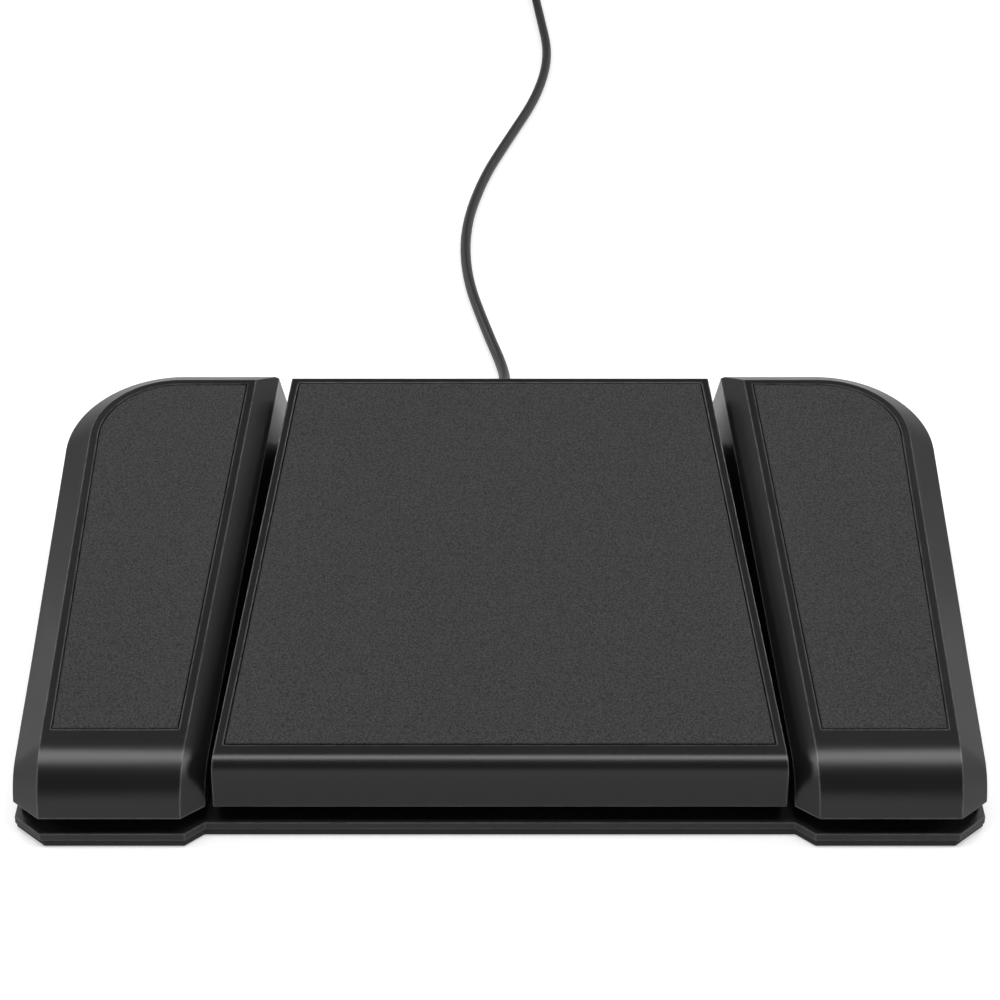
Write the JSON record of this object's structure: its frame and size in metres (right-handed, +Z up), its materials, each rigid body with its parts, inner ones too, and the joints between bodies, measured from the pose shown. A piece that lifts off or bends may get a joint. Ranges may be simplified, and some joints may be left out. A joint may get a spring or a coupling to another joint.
{
  "type": "foot pedal switch",
  "caption": "Low wedge-shaped USB foot switch with side-by-side sprung pedals on a flat weighted base, with grained grip pads and a thin cord to a USB plug.",
  "frame": {"origin": "centre of the base's bounding box at the underside of the rubber mat", "axes": "+X to the user's right, +Y to the rear, away from the user, where the cord leaves, +Z up"},
  "size_m": [0.237, 0.6982, 0.0499],
  "materials": {
    "shell_plastic": "satin black moulded plastic, lightly polished",
    "pad_rubber": "fine grained matt grip sheet",
    "plate_paint": "satin black powder coat",
    "mat_rubber": "matt black rubber",
    "skirt_plastic": "matt dark grey plastic",
    "bracket_steel": "zinc-plated sheet steel",
    "screw_steel": "zinc-plated steel",
    "pin_steel": "ground steel",
    "spring_steel": "drawn spring steel",
    "stand_plastic": "matt grey plastic",
    "bush_plastic": "natural acetal",
    "bumper_rubber": "matt black rubber",
    "switch_plastic": "matt black plastic",
    "plunger_plastic": "matt red plastic",
    "board_laminate": "green coated laminate",
    "chip_plastic": "matt black resin",
    "socket_plastic": "matt cream plastic",
    "lead_jacket": "smooth red insulation",
    "cord_jacket": "smooth matt black jacket",
    "tie_fabric": "black woven tape",
    "plug_plastic": "matt black moulded plastic",
    "plug_metal": "plated steel",
    "tongue_plastic": "white plastic"
  },
  "bodies": {
    "base": {"base_mat": "mat_rubber", "base_plate": "plate_paint", "left_side_skirt": "skirt_plastic", "right_side_skirt": "skirt_plastic", "left_hinge_brackets": "bracket_steel", "centre_hinge_brackets": "bracket_steel", "right_hinge_brackets": "bracket_steel", "hinge_pins": "pin_steel", "hinge_clips": "spring_steel", "bracket_screws": "screw_steel", "spring_cups": "stand_plastic", "left_return_spring": "spring_steel", "centre_return_springs": "spring_steel", "right_return_spring": "spring_steel", "holder_screws": "screw_steel", "rest_pads": "bumper_rubber", "controller_board": "board_laminate", "controller_chip": "chip_plastic", "board_standoffs": "bracket_steel", "board_screws": "screw_steel", "lead_sockets": "socket_plastic", "cord_socket": "socket_plastic", "left_switch_lead": "lead_jacket", "centre_switch_lead": "lead_jacket", "right_switch_lead": "lead_jacket", "inner_cord": "cord_jacket", "cord_clamp": "stand_plastic", "clamp_screws": "screw_steel", "strain_relief": "cord_jacket", "usb_cord": "cord_jacket", "usb_cord_coil": "cord_jacket", "usb_cord_tail": "cord_jacket", "cord_tie": "tie_fabric", "usb_plug_body": "plug_plastic", "usb_plug_shell": "plug_metal", "usb_plug_tongue": "tongue_plastic", "left_switch_holder": "stand_plastic", "left_switch_body": "switch_plastic", "centre_switch_holder": "stand_plastic", "centre_switch_body": "switch_plastic", "right_switch_holder": "stand_plastic", "right_switch_body": "switch_plastic"},
    "left_pedal": {"left_pedal_shell": "shell_plastic", "left_grip_pad": "pad_rubber", "left_hinge_bushes": "bush_plastic", "left_stop_bumpers": "bumper_rubber"},
    "centre_pedal": {"centre_pedal_shell": "shell_plastic", "centre_grip_pad": "pad_rubber", "centre_hinge_bushes": "bush_plastic", "centre_stop_bumpers": "bumper_rubber"},
    "right_pedal": {"right_pedal_shell": "shell_plastic", "right_grip_pad": "pad_rubber", "right_hinge_bushes": "bush_plastic", "right_stop_bumpers": "bumper_rubber"},
    "left_plunger": {"left_switch_plunger": "plunger_plastic"},
    "centre_plunger": {"centre_switch_plunger": "plunger_plastic"},
    "right_plunger": {"right_switch_plunger": "plunger_plastic"}
  },
  "joints": [
    {"name": "left_pedal_hinge", "type": "hinge", "parent": "base", "child": "left_pedal", "pos_m": [-0.088, 0.0655, 0.012], "axis": [1, 0, 0], "range_deg": [0, 1.35], "stiffness_Nm_per_rad": 22, "springref_deg": -2.58, "deforming": ["left_return_spring"]},
    {"name": "centre_pedal_hinge", "type": "hinge", "parent": "base", "child": "centre_pedal", "pos_m": [0, 0.0655, 0.012], "axis": [1, 0, 0], "range_deg": [0, 1.35], "stiffness_Nm_per_rad": 34, "springref_deg": -2.86, "deforming": ["centre_return_springs"]},
    {"name": "right_pedal_hinge", "type": "hinge", "parent": "base", "child": "right_pedal", "pos_m": [0.088, 0.0655, 0.012], "axis": [1, 0, 0], "range_deg": [0, 1.35], "stiffness_Nm_per_rad": 22, "springref_deg": -2.58, "deforming": ["right_return_spring"]},
    {"name": "left_plunger_slide", "type": "slide", "parent": "base", "child": "left_plunger", "axis": [0, 0, -1], "range_m": [0, 0.00105]},
    {"name": "centre_plunger_slide", "type": "slide", "parent": "base", "child": "centre_plunger", "axis": [0, 0, -1], "range_m": [0, 0.00105]},
    {"name": "right_plunger_slide", "type": "slide", "parent": "base", "child": "right_plunger", "axis": [0, 0, -1], "range_m": [0, 0.00105]}
  ],
  "couplings": [
    {"joint": "left_plunger_slide", "follows": "left_pedal_hinge", "m_per_rad": 0.044},
    {"joint": "centre_plunger_slide", "follows": "centre_pedal_hinge", "m_per_rad": 0.044},
    {"joint": "right_plunger_slide", "follows": "right_pedal_hinge", "m_per_rad": 0.044}
  ]
}
